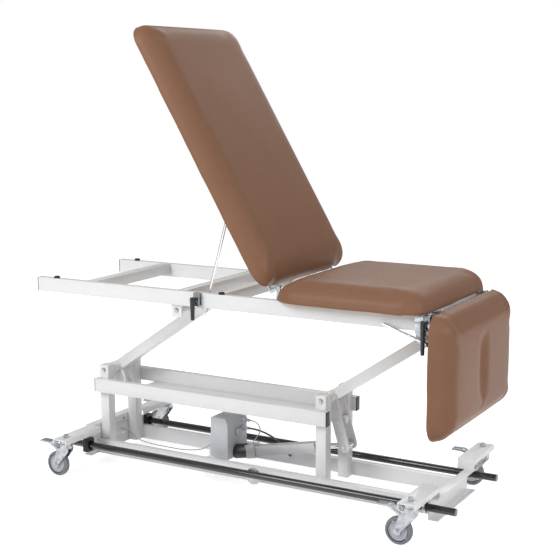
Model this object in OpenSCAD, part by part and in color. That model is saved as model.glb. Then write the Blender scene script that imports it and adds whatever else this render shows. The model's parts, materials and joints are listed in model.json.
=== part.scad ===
// Three-section medical exam table with a parallelogram lift on swivel casters.
// Millimetres. +X runs along the table to the drop section, +Y away from the
// handles, +Z up. The origin is on the floor under the middle of the table.

/* [Cushions] */
// Width of the three cushions
pad_w = 614; // [560:2:660]
// Length of the back cushion
back_len = 980; // [800:5:1000]
// Length of the seat cushion
seat_len = 520; // [460:5:600]
// Length of the drop cushion
drop_len = 405; // [340:5:410]
// Thickness of the seat and drop cushions without their boards
foam_t = 58; // [50:1:66]
// Thickness of the plywood boards
board_t = 12; // [9:1:16]
// How far the boards stay inside the cushion outline
board_inset = 12; // [8:1:20]
// Radius of the cushion corners, seen from above
corner_r = 70; // [50:1:90]
// Gap between neighbouring cushions when they lie flat
pad_gap = 20; // [18:1:30]
// Depth of the face recess in the drop cushion
recess_d = 30; // [20:1:34]
// Length of the face recess
recess_len = 250; // [160:5:260]
// Width of the face recess
recess_w = 84; // [60:2:100]

/* [Stance] */
// Slope of the back section at rest
back_angle = 59.5; // [45:0.5:65]
// Slope of the lift arms at rest
arm_angle = 34; // [28:0.5:38]

/* [Top frame] */
// Height of the top frame's upper face above the floor at rest
top_z = 710; // [700:2:730]
// Length of the side rails
rail_len = 1505; // [1460:5:1540]
// Outside distance across the side rails
top_w = 508; // [480:2:540]
// Width of every rectangular rail tube
rail_w = 25; // [22:1:28]
// Height of every rectangular rail tube
rail_h = 50; // [44:1:54]
// Wall of the rectangular tubes
tube_wall = 2; // [1.5:0.5:3]
// How far the seat cushion passes the rail ends
seat_over = 10; // [6:1:16]
// Width of the cross tubes
cross_w = 40; // [30:1:50]
// Height of the cross tubes
cross_h = 38; // [30:1:40]
// Height of the round rubber bumpers
bumper_h = 8; // [6:1:10]

/* [Lift] */
// Length of the lift arms between pivots
arm_len = 520; // [500:2:540]
// Distance between the two lower arm pivots
pivot_span = 908; // [880:2:930]
// Height of the lower arm pivots
pivot_z = 350; // [346:1:356]
// Width of the arm tube
arm_w = 50; // [40:1:56]
// Height of the arm tube
arm_h = 38; // [32:1:44]
// Diameter of the lower cross shafts
lower_d = 42; // [36:1:48]
// Diameter of the upper cross shafts
upper_d = 32; // [26:1:34]
// Length of the right levers from the pivot to the actuator pin
lever_len = 178; // [165:1:185]
// Distance from the arm pivot to the tie bar pin
tie_r = 85; // [75:1:95]
// Angle of the levers below the horizontal at rest
lever_angle = 73; // [68:1:78]
// Width of a lever plate
lever_w = 40; // [34:1:44]
// Thickness of a lever plate
lever_t = 6; // [5:1:8]
// Side of the square tie bar
tie_s = 25; // [22:1:28]

/* [Base] */
// Outside distance across the lower and middle rails
mid_w = 254; // [240:2:280]
// Length of the middle rails
mid_len = 963; // [950:1:990]
// Height of the middle rails' upper face
mid_z = 321; // [314:1:322]
// Height of the base rails' upper face
base_z = 88; // [80:1:96]
// Side of the square posts
post_s = 38; // [34:1:42]
// Distance between the left and right casters
caster_span = 1342; // [1320:2:1360]
// Distance between the front and rear casters
caster_gap = 627; // [600:1:660]
// Height of the end channels
channel_h = 76; // [66:1:84]
// Width of the end channels' flanges
flange_w = 34; // [28:1:38]
// Plate thickness of the end channels and caster arms
plate_t = 4; // [3:0.5:5]
// Width of the caster arms
wing_w = 59; // [54:1:64]

/* [Casters] */
// Wheel diameter
wheel_d = 90; // [80:1:94]
// Wheel width
wheel_w = 24; // [20:1:28]
// Distance from the swivel axis back to the axle
trail = 38; // [32:1:42]
// Axle diameter
axle_d = 8; // [6:0.5:10]

/* [Actuator] */
// Diameter of the push rod
rod_d = 20; // [16:1:22]
// Side of the aluminium tube
ram_s = 34; // [30:1:38]
// Length of the aluminium tube
ram_len = 243; // [235:1:250]
// Length of the control box along X
box_x = 71; // [60:1:80]
// Width of the control box along Y
box_y = 132; // [110:2:150]
// Height of the control box
box_z = 148; // [130:1:160]

/* [Foot bars] */
// Diameter of the foot bars
bar_d = 25; // [22:1:28]
// Distance between the two foot bars
bar_gap = 372; // [364:2:380]
// Height of the foot bars' centre
bar_z = 84; // [80:1:90]
// Length of the foot bars
bar_len = 1508; // [1480:2:1530]
// Travel of a foot bar each way
bar_travel = 4; // [2:0.5:5]

/* [Locks] */
// Diameter of the locking rods
lock_d = 10; // [8:0.5:12]
// Length of the release grips
grip_len = 92; // [80:1:110]

/* [Hidden] */
$fn = 48;

// Colours
WHITE = "#e9e9ea";
BROWN = "#83614f";
BLACK = "#1c1c1e";
ZINC = "#b4b9bf";
CHROME = "#d4d8dc";
GREY = "#c9cdd2";
TYRE = "#6c7077";
WOOD = "#c7a67a";

// Small fits
run = 0.3;          // running clearance between moving pieces
eps = 0.01;         // overshoot of a cut
cap_t = 3;          // thickness of an end cap
soft_gap = 0.3;     // air between a cushion and its board

// Lengthwise places, from the left cap of the side rails to the face of the hanging drop cushion
pad_t = foam_t + board_t;
drop_pin_in = 4;    // hinge pin inside the drop cushion's near edge
drop_pin_up = 4;    // and above the side rails
total_x = cap_t + rail_len + seat_over + pad_gap + drop_pin_in + pad_t - drop_pin_up;
rail_x0 = -total_x / 2 + cap_t;
rail_x1 = rail_x0 + rail_len;
seat_x1 = rail_x1 + seat_over;
seat_x0 = seat_x1 - seat_len;
back_x1 = seat_x0 - pad_gap;
drop_x0 = seat_x1 + pad_gap;

// Hinge axes of the back and drop sections
back_px = seat_x0 - 8;
back_pz = top_z + board_t + foam_t / 2;
drop_px = drop_x0 + drop_pin_in;
drop_pz = top_z + drop_pin_up;
back_foam_t = foam_t - bumper_h;    // the back lies on the bumpers when flat

// Lift linkage
up_px_r = rail_x1 + 2;              // upper pivot of the right arm
low_px_r = up_px_r - arm_len * cos(arm_angle);
low_px_l = low_px_r - pivot_span;
up_px_l = up_px_r - pivot_span;
up_pz = pivot_z + arm_len * sin(arm_angle);
pivot_plate_t = 8;                  // thickness of the plates that hold the upper pivots
lever_half = 25;                    // half distance between the inner faces of two lever plates
ram_pin_x = low_px_r + lever_len * cos(lever_angle);
ram_pin_z = pivot_z - lever_len * sin(lever_angle);
tie_dx = tie_r * cos(lever_angle);
tie_z = pivot_z - tie_r * sin(lever_angle);

// Base
wall_y = mid_w / 2 - rail_w;        // inner faces of the middle and base rails
mid_x0 = low_px_l - 24;
mid_x1 = mid_x0 + mid_len;
post_top = pivot_z + 19;
caster_x0 = low_px_l - 13;
caster_x1 = caster_x0 + caster_span;
caster_y = caster_gap / 2;
channel_z0 = 34;
channel_z1 = channel_z0 + channel_h;
web_x0 = low_px_l - post_s / 2 - 2; // inner face of the left web
web_x1 = caster_x1 - 4;             // inner face of the right web
channel_half = 165;                 // half length of the end channels
wing_z1 = 146;                      // upper face of the caster arms
wing_h = 18;                        // height of the caster arms
wing_end = caster_y + 37;           // outer end of the caster arms
wing_in = 150;                      // inner end of the caster arms
beam_w = 35;                        // width of the left cross beam
beam_y1 = 118;                      // rear end of the left cross beam

// Casters
head_d = 44;
head_z = 127.3;                     // underside of the swivel bearing
fork_top = head_z - run;
fork_ring_z = 108;
cheek_in = wheel_w / 2 + 1.5;       // inner face of a fork cheek
cheek_t = 3;
pedal_px = 25;                      // pedal pin behind the swivel axis
pedal_pz = 101;

// Actuator
tail_x = low_px_r - 489.9;
ram_tilt = 11.48;
tail_z = ram_pin_z - (ram_pin_x - tail_x) * tan(ram_tilt);
ram_reach = (ram_pin_x - tail_x) / cos(ram_tilt);
ram_end = ram_reach - 124;          // open end of the aluminium tube along its axis
ram_start = ram_end - ram_len;
collar_len = 36;
motor_d = 52;
box_x0 = tail_x + 23;
box_z0 = 74;
box_y0 = -60;
eye_half = 9;                       // half width of the tail eye
tail_pin_d = 10;

// Foot bars
bar_x0 = web_x0 - 59.9;
bar_y = bar_gap / 2;

// Locks: lug and clutch lie at one distance from the hinge axis, so a rod turns half as far
// as its section and always points through its clutch
back_lug_u = 300;                   // rod pin up the back from its hinge axis
back_lug_n = 45;                    // and behind that axis
back_lug_r = norm([back_lug_u, back_lug_n]);
back_clutch_a = 19.5;               // clutch below the horizontal through the hinge axis
back_clutch_x = back_px - back_lug_r * cos(back_clutch_a);
back_clutch_z = back_pz - back_lug_r * sin(back_clutch_a);
back_rod_len = 375;
drop_lug_u = 90;
drop_lug_n = 12;
drop_lug_r = norm([drop_lug_u, drop_lug_n]);
drop_clutch_a = 62;
drop_clutch_x = drop_px - drop_lug_r * cos(drop_clutch_a);
drop_clutch_z = drop_pz - drop_lug_r * sin(drop_clutch_a);
drop_rod_len = 160;
clutch_t = 4;                       // thickness of a clutch plate
back_rod_y = -top_w / 2 + rail_w + clutch_t + run + lock_d / 2;
drop_rod_y = -top_w / 2 - clutch_t - run - lock_d / 2;
grip_y = -top_w / 2 - 31;
grip_pz = top_z - 20;               // height of the grips' pins
grip_pin_in = 8;                    // pin from the left edge of its bracket
back_grip_x = back_clutch_x - 16;                 // left edges of the two release brackets
drop_grip_x = rail_x1 + 4;
rod_pin_d = 5;

// Hinges of the back and drop sections
ear_t = 5;
pin_d = 8;
eye_r = 7;
back_ear_y = top_w / 2 - rail_w - ear_t;    // inner face of a back ear, on the rail
drop_ear_y = 190;                           // inner face of a drop ear, on the end cross tube

// Local frames of the sections that turn
module back_frame() {
  translate([back_px, 0, back_pz])
    rotate([0, back_angle, 0])
      children();
}

module drop_frame() {
  translate([drop_px, 0, drop_pz])
    rotate([0, 90, 0])
      children();
}

module ram_frame() {
  translate([tail_x, 0, tail_z])
    rotate([0, -ram_tilt, 0])
      children();
}

// Box centred on Y
module ybox(x0, x1, w, z0, z1) {
  translate([x0, -w / 2, z0])
    cube([x1 - x0, w, z1 - z0]);
}

// Rectangular tube along X
module tube_x(x0, x1, y0, w, z0, h) {
  difference() {
    translate([x0, y0, z0])
      cube([x1 - x0, w, h]);
    translate([x0 - eps, y0 + tube_wall, z0 + tube_wall])
      cube([x1 - x0 + 2 * eps, w - 2 * tube_wall, h - 2 * tube_wall]);
  }
}

// Round bar along Y
module ybar(x, z, y0, y1, d) {
  translate([x, y0, z])
    rotate([-90, 0, 0])
      cylinder(d = d, h = y1 - y0);
}

// Hexagon bolt head along Y with a washer
module ybolt(x, z, y0, dir, d = 12) {
  washer = 1.5;
  head = 5;
  translate([x, y0, z])
    rotate([-90 * dir, 0, 0]) {
      cylinder(d = d * 1.5, h = washer);
      translate([0, 0, washer])
        cylinder(d = d * 1.15, h = head, $fn = 6);
    }
}

// Cushion slab between x0 and x1 with rolled edges, its underside at z0
module cushion(x0, x1, z0, t) {
  edge = t / 2;
  r = corner_r - edge;
  hull()
    for (x = [x0 + corner_r, x1 - corner_r], y = [-1, 1])
      translate([x, y * (pad_w / 2 - corner_r), z0 + edge])
        rotate_extrude($fn = 32) {
          translate([r, 0])
            circle(r = edge, $fn = 24);
          translate([0, -edge])
            square([r, t]);
        }
}

// Flat board under a cushion
module board(x0, x1, z0) {
  r = corner_r - board_inset;
  w = pad_w - 2 * board_inset;
  union() {
    ybox(x0 + board_inset + r, x1 - board_inset - r, w, z0, z0 + board_t);
    ybox(x0 + board_inset, x1 - board_inset, w - 2 * r, z0, z0 + board_t);
    for (x = [x0 + corner_r, x1 - corner_r], y = [-1, 1])
      translate([x, y * (pad_w / 2 - corner_r), z0])
        cylinder(r = r, h = board_t);
  }
}

// Smooth tube through hand-chosen points
function spline_at(p, i, t) =
  let (n = len(p) - 1,
       a = p[max(i - 1, 0)],
       b = p[i],
       c = p[min(i + 1, n)],
       d = p[min(i + 2, n)])
  0.5 * (2 * b + (c - a) * t + (2 * a - 5 * b + 4 * c - d) * t * t
    + (3 * b - a - 3 * c + d) * t * t * t);
function smooth_path(p, steps) =
  concat([for (i = [0 : len(p) - 2], k = [0 : steps - 1]) spline_at(p, i, k / steps)], [p[len(p) - 1]]);
function unit(v) = v / norm(v);
function ring(p, i, r, sides) =
  let (n = len(p) - 1,
       t = unit(p[min(i + 1, n)] - p[max(i - 1, 0)]),
       side = unit(cross(t, [0.31, 0.17, 0.94])),
       up = cross(side, t))
  [for (k = [0 : sides - 1]) p[i] + r * (cos(360 * k / sides) * side + sin(360 * k / sides) * up)];

module lead(points, d, steps = 3, sides = 8) {
  path = smooth_path(points, steps);
  n = len(path);
  verts = [for (i = [0 : n - 1]) each ring(path, i, d / 2, sides)];
  walls = [for (i = [0 : n - 2], k = [0 : sides - 1])
    [i * sides + k, i * sides + (k + 1) % sides,
     (i + 1) * sides + (k + 1) % sides, (i + 1) * sides + k]];
  start = [for (k = [sides - 1 : -1 : 0]) k];
  finish = [for (k = [0 : sides - 1]) (n - 1) * sides + k];
  polyhedron(points = verts, faces = concat([start], walls, [finish]), convexity = 6);
}

// Routes of the three leads
lead_motor_pts = [[-92, 46, 196], [-76, 46, 195], [-58, 44, 189], [-46, 40, 176], [-44, 34, 160],
  [-50, 26, 146], [-54, 18, 137], [-57, 10, 127]];
lead_switch_pts = [[-92, 40, 168], [-74, 40, 168], [-50, 44, 164], [-24, 52, 154], [2, 62, 138],
  [26, 74, 116], [40, 84, 92], [46, 94, 72], [46, 102, 70]];
lead_limit_pts = [[-654, 20, 92], [-642, 20, 92], [-620, 16, 90], [-590, 10, 80], [-560, 4, 68],
  [-500, 0, 60], [-420, 0, 58], [-340, 0, 60], [-270, 0, 74], [-225, -6, 100], [-192, -8, 108]];
lead_thin = 4;
lead_thick = 7;

// ---- Base ----
module base_rails() {
  color(WHITE)
    for (y = [-mid_w / 2, wall_y])
      tube_x(web_x0, web_x1, y, rail_w, base_z - rail_h, rail_h);
}

module channel(web_x, dir) {
  outer = web_x + dir * plate_t;
  reach = web_x + dir * flange_w;
  ybox(min(web_x, outer), max(web_x, outer), 2 * channel_half, channel_z0, channel_z1);
  for (z = [channel_z0, channel_z1 - plate_t])
    ybox(min(web_x, reach), max(web_x, reach), 2 * channel_half, z, z + plate_t);
}

module end_channels() {
  hole_y = 35;
  color(WHITE) {
    difference() {
      channel(web_x0, -1);
      for (y = [-hole_y, hole_y])
        translate([web_x0 - plate_t - 1, y, channel_z0 + channel_h / 2])
          rotate([0, 90, 0])
            cylinder(d = 9, h = plate_t + 2);
    }
    channel(web_x1, 1);
  }
}

// One caster arm: a shallow channel, open below, with a stem hole
module caster_arm(cx, side, y_in) {
  y0 = min(side * y_in, side * wing_end);
  len_y = wing_end - y_in;
  difference() {
    translate([cx - wing_w / 2, y0, wing_z1 - wing_h])
      cube([wing_w, len_y, wing_h]);
    translate([cx - wing_w / 2 + plate_t, y0 - 1, wing_z1 - wing_h - 1])
      cube([wing_w - 2 * plate_t, len_y + 2, wing_h - plate_t + 1]);
    translate([cx, side * caster_y, wing_z1 - plate_t - 1])
      cylinder(d = 12 + 2 * run, h = plate_t + 2);
  }
}

module caster_arms() {
  beam_x0 = web_x0 - beam_w;
  hole_y = 108;
  color(WHITE) {
    caster_arm(caster_x0, -1, wing_in);
    caster_arm(caster_x0, 1, beam_y1);
    // left cross beam on the end channel, with its rounded rear corner
    difference() {
      translate([beam_x0, -wing_in, channel_z1])
        cube([beam_w, wing_in + beam_y1, wing_z1 - channel_z1]);
      translate([beam_x0 + plate_t, -wing_in + plate_t, channel_z1 - 1])
        cube([beam_w - 2 * plate_t, wing_in + beam_y1 - 2 * plate_t, wing_z1 - channel_z1 - plate_t + 1]);
      for (y = [-hole_y, hole_y - 8])
        translate([beam_x0 + beam_w / 2, y, wing_z1 - plate_t - 1])
          cylinder(d = 8, h = plate_t + 2);
      translate([web_x0 - plate_t - 1, 40, channel_z1 + 18])
        rotate([0, 90, 0])
          cylinder(d = 10, h = plate_t + 2);
    }
    // right arms stand on legs from the right channel
    for (s = [-1, 1]) {
      caster_arm(caster_x1, s, wing_in);
      leg_y = min(s * wing_in, s * (wing_in + plate_t));
      translate([caster_x1 - wing_w / 2, leg_y, channel_z1])
        cube([wing_w, plate_t, wing_z1 - channel_z1]);
    }
  }
}

module posts() {
  color(WHITE)
    for (x = [low_px_l, low_px_r], s = [-1, 1])
      difference() {
        translate([x - post_s / 2, min(s * wall_y, s * (wall_y - post_s)), base_z - rail_h])
          cube([post_s, post_s, post_top - base_z + rail_h]);
        translate([x - post_s / 2 + tube_wall, min(s * wall_y, s * (wall_y - post_s)) + tube_wall,
            base_z - rail_h - 1])
          cube([post_s - 2 * tube_wall, post_s - 2 * tube_wall, post_top - base_z + rail_h - tube_wall]);
        ybar(x, pivot_z, -wall_y - 1, wall_y + 1, 12);
      }
}

module mid_rails() {
  color(WHITE)
    for (y = [-mid_w / 2, wall_y])
      tube_x(mid_x0, mid_x1, y, rail_w, mid_z - rail_h, rail_h);
}

module mid_shelf() {
  shelf_t = 3;
  inner_y = 22;
  lever_room = 86;    // clear of the levers at both ends of the lift
  x0 = low_px_l + lever_room;
  color(WHITE)
    translate([x0, inner_y, mid_z - rail_h])
      cube([low_px_r - lever_room - x0, wall_y - inner_y, shelf_t]);
}

module rail_caps() {
  color(BLACK)
    for (y = [-mid_w / 2, wall_y], x = [mid_x0 - cap_t, mid_x1])
      translate([x, y, mid_z - rail_h])
        cube([cap_t, rail_w, rail_h]);
}

module base_hardware() {
  nut_h = 10;
  collar_d = bar_d + 14;
  color(ZINC) {
    // pivot bolts through the posts into the lower shafts
    for (x = [low_px_l, low_px_r], s = [-1, 1]) {
      ybolt(x, pivot_z, s * wall_y, s);
      ybar(x, pivot_z, min(s * wall_y, s * (wall_y - post_s - 12)),
        max(s * wall_y, s * (wall_y - post_s - 12)), 12);
    }
    // caster stems, nuts and upper swivel bearings
    for (x = [caster_x0, caster_x1], s = [-1, 1])
      translate([x, s * caster_y, 0]) {
        translate([0, 0, wing_z1])
          cylinder(d = 19, h = nut_h, $fn = 6);
        translate([0, 0, head_z])
          cylinder(d = 12, h = wing_z1 + nut_h + 2 - head_z);
        translate([0, 0, head_z])
          cylinder(d = head_d, h = wing_z1 - plate_t - head_z);
      }
    // collars that guide the right ends of the foot bars
    for (s = [-1, 1])
      difference() {
        union() {
          translate([web_x1 - 4, s * bar_y, bar_z])
            rotate([0, 90, 0])
              cylinder(d = collar_d, h = 8);
          translate([web_x1 - 4, min(s * (channel_half - 16), s * bar_y), bar_z - 10])
            cube([4, bar_y - channel_half + 16, 20]);
        }
        bar_slot(web_x1 - 5, web_x1 + 5, s);
      }
  }
}

// Slot in which a foot bar can travel
module bar_slot(x0, x1, s) {
  w = bar_d + 2 * run;
  for (z = [-1, 1])
    translate([x0, s * bar_y, bar_z + z * (bar_travel + run)])
      rotate([0, 90, 0])
        cylinder(d = w, h = x1 - x0);
  translate([x0, s * bar_y - w / 2, bar_z - bar_travel - run])
    cube([x1 - x0, w, 2 * (bar_travel + run)]);
}

module bar_brackets() {
  color(BLACK)
    for (s = [-1, 1])
      difference() {
        translate([web_x0 - 6, min(s * channel_half, s * (bar_y + bar_d / 2 + 6)), bar_z - 24])
          cube([22, bar_y + bar_d / 2 + 6 - channel_half, 48]);
        bar_slot(web_x0 - 7, web_x0 + 17, s);
      }
}

module bar_switch() {
  sw_x = low_px_r - 222.9;
  disc_d = 58;
  color(ZINC)
    for (s = [-1, 1]) {
      y_out = s * (bar_y - bar_d / 2 - 1);
      y_rail = s * mid_w / 2;
      ybar(sw_x, bar_z - 10, min(y_out, y_out - s * 4), max(y_out, y_out - s * 4), disc_d);
      ybar(sw_x, base_z - rail_h / 2, min(y_out - s * 4, y_rail), max(y_out - s * 4, y_rail), 16);
    }
}

// ---- Actuator ----
module actuator_mount() {
  tube_h = 20;
  ear_in = eye_half + run;
  color(WHITE) {
    translate([tail_x - 20, -wall_y, base_z - rail_h])
      cube([40, 2 * wall_y, tube_h]);
    for (s = [-1, 1])
      difference() {
        translate([tail_x - 15, min(s * ear_in, s * (ear_in + ear_t)), base_z - rail_h + tube_h])
          cube([30, ear_t, tail_z + 15 - base_z + rail_h - tube_h]);
        ybar(tail_x, tail_z, -2 * ear_in, 2 * ear_in, tail_pin_d);
      }
  }
  color(ZINC)
    ybar(tail_x, tail_z, -2 * ear_in, 2 * ear_in, tail_pin_d);
}

module control_box() {
  lid_z = box_z0 + box_z;
  chamfer = 10;
  color(GREY) {
    translate([box_x0, box_y0 + box_y, 0])
      rotate([90, 0, 0])
        linear_extrude(box_y)
          polygon([[0, box_z0 + 4], [box_x - 14, box_z0 - 12], [box_x, box_z0],
            [box_x, lid_z - 2 * chamfer], [box_x - chamfer, lid_z], [3, lid_z], [0, lid_z - 3]]);
    // tail eye
    difference() {
      union() {
        ybar(tail_x, tail_z, -eye_half, eye_half, 22);
        translate([tail_x, -eye_half, tail_z - 9])
          cube([box_x0 - tail_x + 1, 2 * eye_half, 22]);
      }
      ybar(tail_x, tail_z, -eye_half - 1, eye_half + 1, tail_pin_d + 2 * run);
    }
  }
}

module box_plugs() {
  face = box_x0 + box_x;
  color(GREY) {
    for (p = [[46, 196, 20], [40, 168, 22]])
      translate([face, p[0], p[1]])
        rotate([0, 90, 0]) {
          cylinder(d = p[2], h = 14);
          translate([0, 0, 14])
            cylinder(d = 11, h = 15);
        }
    // mains inlet
    translate([face, -6, 150])
      cube([10, 30, 24]);
  }
}

module motor_housing() {
  s0 = (box_x0 + box_x - tail_x) / cos(ram_tilt) + 5;
  color(BLACK)
    intersection() {
      ram_frame()
        translate([s0 - 30, 0, 0])
          rotate([0, 90, 0])
            cylinder(d = motor_d, h = ram_start - collar_len - s0 + 30);
      translate([box_x0 + box_x, -100, 0])
        cube([200, 200, 300]);
    }
}

module actuator_tube() {
  color(GREY)
    ram_frame()
      difference() {
        union() {
          translate([ram_start - collar_len, -ram_s / 2 - 6, -ram_s / 2 - 7])
            cube([collar_len, ram_s + 12, ram_s + 14]);
          translate([ram_start, -ram_s / 2, -ram_s / 2])
            cube([ram_len, ram_s, ram_s]);
        }
        translate([ram_start, 0, 0])
          rotate([0, 90, 0])
            cylinder(d = rod_d + 2 * run, h = ram_len + 1);
        for (y = [-1, 1], z = [-7, 7])
          translate([ram_start + 2, y * ram_s / 2 - 1.5, z - 1.5])
            cube([ram_len, 3, 3]);
      }
}

module lead_motor() {
  color(GREY)
    lead(lead_motor_pts, lead_thin);
}

module lead_switch() {
  color("#55585c")
    lead(lead_switch_pts, lead_thick);
}

module lead_limit() {
  color(GREY)
    lead(lead_limit_pts, lead_thin, 4);
}

module actuator_rod() {
  eye_w = 2 * lever_half - 8;
  color(CHROME)
    ram_frame()
      difference() {
        union() {
          translate([ram_end - 112, 0, 0])
            rotate([0, 90, 0])
              cylinder(d = rod_d, h = ram_reach - ram_end + 112 - 6);
          ybar(ram_reach, 0, -eye_w / 2, eye_w / 2, 28);
        }
        ybar(ram_reach, 0, -eye_w / 2 - 1, eye_w / 2 + 1, 12);
      }
}

// ---- Lift arms ----
// Frame of an arm: its lower pivot, turned so that +X runs up the arm
module arm_frame(px) {
  translate([px, 0, pivot_z])
    rotate([0, -arm_angle, 0])
      children();
}

module arm_tube(px) {
  color(WHITE)
    arm_frame(px)
      difference() {
        ybox(0, arm_len, arm_w, -arm_h / 2, arm_h / 2);
        ybox(-1, arm_len + 1, arm_w - 2 * tube_wall, -arm_h / 2 + tube_wall, arm_h / 2 - tube_wall);
        ybar(0, 0, -arm_w, arm_w, lower_d);
        ybar(arm_len, 0, -arm_w, arm_w, upper_d);
      }
}

module shafts(px) {
  lower_half = wall_y - post_s - 1;
  upper_half = top_w / 2 - rail_w / 2 - 4 - 1;
  color(WHITE)
    arm_frame(px) {
      difference() {
        ybar(0, 0, -lower_half, lower_half, lower_d);
        ybar(0, 0, -lower_half - 1, lower_half + 1, 12 + 2 * run);
      }
      difference() {
        ybar(arm_len, 0, -upper_half, upper_half, upper_d);
        ybar(arm_len, 0, -upper_half - 1, upper_half + 1, 12 + 2 * run);
      }
    }
}

// Lever plates welded to a lower shaft, with stub pins outside and the tie pin through
module lever_pair(px, length) {
  color(WHITE)
    translate([px, 0, pivot_z])
      rotate([0, lever_angle, 0])
        for (s = [-1, 1])
          difference() {
            union() {
              translate([0, min(s * lever_half, s * (lever_half + lever_t)), -lever_w / 2])
                cube([length, lever_t, lever_w]);
              for (x = [0, length])
                ybar(x, 0, min(s * lever_half, s * (lever_half + lever_t)),
                  max(s * lever_half, s * (lever_half + lever_t)), lever_w);
            }
            ybar(0, 0, -60, 60, lower_d);
          }
  color(ZINC)
    translate([px, 0, pivot_z])
      rotate([0, lever_angle, 0]) {
        ybar(tie_r, 0, -lever_half, lever_half, 10);
        for (s = [-1, 1])
          ybolt(tie_r, 0, s * (lever_half + lever_t), s, 10);
        if (length > tie_r + 20)
          for (s = [-1, 1])
            ybolt(length, 0, s * (lever_half + lever_t), s, 12);
      }
}

module arm_right() { arm_tube(low_px_r); }
module arm_left() { arm_tube(low_px_l); }
module shafts_right() { shafts(low_px_r); }
module shafts_left() { shafts(low_px_l); }
module levers_right() { lever_pair(low_px_r, lever_len); }
module levers_left() { lever_pair(low_px_l, tie_r); }

module tie_bar() {
  over = 24;
  x0 = low_px_l + tie_dx;
  x1 = low_px_r + tie_dx;
  spacer_half = lever_half - run;
  color(WHITE)
    difference() {
      union() {
        ybox(x0 - over, x1 + over, tie_s, tie_z - tie_s / 2, tie_z + tie_s / 2);
        for (x = [x0, x1])
          ybar(x, tie_z, -spacer_half, spacer_half, 18);
      }
      for (x = [x0, x1])
        ybar(x, tie_z, -lever_half, lever_half, 10 + 2 * run);
    }
}

// ---- Top frame ----
module side_rails() {
  color(WHITE)
    for (y = [-top_w / 2, top_w / 2 - rail_w])
      tube_x(rail_x0, rail_x1, y, rail_w, top_z - rail_h, rail_h);
}

module cross_tubes() {
  inner = top_w / 2 - rail_w;
  color(WHITE)
    for (x = [rail_x0 + 205, up_px_l - 4, rail_x0 + 740, rail_x1 - cross_w])
      difference() {
        ybox(x, x + cross_w, 2 * inner, top_z - cross_h, top_z);
        translate([x + tube_wall, -inner - 1, top_z - cross_h + tube_wall])
          cube([cross_w - 2 * tube_wall, 2 * inner + 2, cross_h - 2 * tube_wall]);
      }
}

module upper_caps() {
  color(BLACK)
    for (y = [-top_w / 2, top_w / 2 - rail_w], x = [rail_x0 - cap_t, rail_x1])
      translate([x, y, top_z - rail_h])
        cube([cap_t, rail_w, rail_h]);
}

module pivot_brackets() {
  half_w = 20.5;
  color(WHITE)
    for (x = [up_px_l, up_px_r], s = [-1, 1]) {
      y_mid = s * (top_w / 2 - rail_w / 2);
      rise = top_z - rail_h - up_pz;
      difference() {
        union() {
          translate([x - half_w, y_mid - pivot_plate_t / 2, up_pz - 12])
            cube([2 * half_w, pivot_plate_t, rise + 12]);
          translate([x - half_w + 12, y_mid - pivot_plate_t / 2, up_pz - 24])
            cube([2 * half_w - 24, pivot_plate_t, 13]);
          for (e = [-1, 1])
            ybar(x + e * (half_w - 12), up_pz - 12, y_mid - pivot_plate_t / 2, y_mid + pivot_plate_t / 2, 24);
        }
        ybar(x, up_pz, y_mid - pivot_plate_t, y_mid + pivot_plate_t, 12);
      }
    }
}

module upper_bolts() {
  color(ZINC)
    for (x = [up_px_l, up_px_r], s = [-1, 1]) {
      y_out = s * (top_w / 2 - rail_w / 2 + pivot_plate_t / 2);
      y_in = y_out - s * (pivot_plate_t + 22);
      ybolt(x, up_pz, y_out, s);
      ybar(x, up_pz, min(y_out, y_in), max(y_out, y_in), 12);
    }
}

module bumpers() {
  color(BLACK)
    for (p = [[rail_x0 + 78, -1], [rail_x0 + 78, 1], [rail_x0 + 778, -1], [rail_x0 + 778, 1]])
      translate([p[0], p[1] * (top_w / 2 - rail_w / 2), top_z]) {
        cylinder(d = 22, h = bumper_h - 3);
        translate([0, 0, bumper_h - 3])
          cylinder(d1 = 22, d2 = 16, h = 3 - run);
      }
}

module seat_board() {
  color(WOOD)
    board(seat_x0, seat_x1, top_z);
}

module seat_pad() {
  color(BROWN)
    cushion(seat_x0, seat_x1, top_z + board_t + soft_gap, foam_t - soft_gap);
}

// Hinge plates: ears stand on the frame, straps sit under the boards beside them
// Plate of thickness ear_t whose inner face is at y on side s
module side_plate(s, y) {
  translate([0, min(s * y, s * (y + ear_t)), 0])
    rotate([-90, 0, 0])
      linear_extrude(ear_t)
        mirror([0, 1])
          children();
}

module hinge_ears() {
  color(ZINC)
    for (s = [-1, 1]) {
      side_plate(s, back_ear_y) {
        translate([back_px, back_pz])
          circle(r = eye_r);
        translate([back_px - eye_r, top_z - rail_h + 5])
          square([2 * eye_r, back_pz - top_z + rail_h - 5]);
      }
      side_plate(s, drop_ear_y) {
        translate([drop_px, drop_pz])
          circle(r = eye_r);
        polygon([[rail_x1, top_z - cross_h + 4], [drop_px - 5, drop_pz - 5],
          [drop_px, drop_pz + eye_r], [rail_x1 + 6, top_z], [rail_x1, top_z]]);
      }
      // pins through ears and straps
      ybar(back_px, back_pz, min(s * (back_ear_y - ear_t - 1.5), s * (back_ear_y + ear_t + 2)),
        max(s * (back_ear_y - ear_t - 1.5), s * (back_ear_y + ear_t + 2)), pin_d);
      ybar(drop_px, drop_pz, min(s * (drop_ear_y - 1), s * (drop_ear_y + 2 * ear_t + 1.5)),
        max(s * (drop_ear_y - 1), s * (drop_ear_y + 2 * ear_t + 1.5)), pin_d);
    }
}

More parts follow.
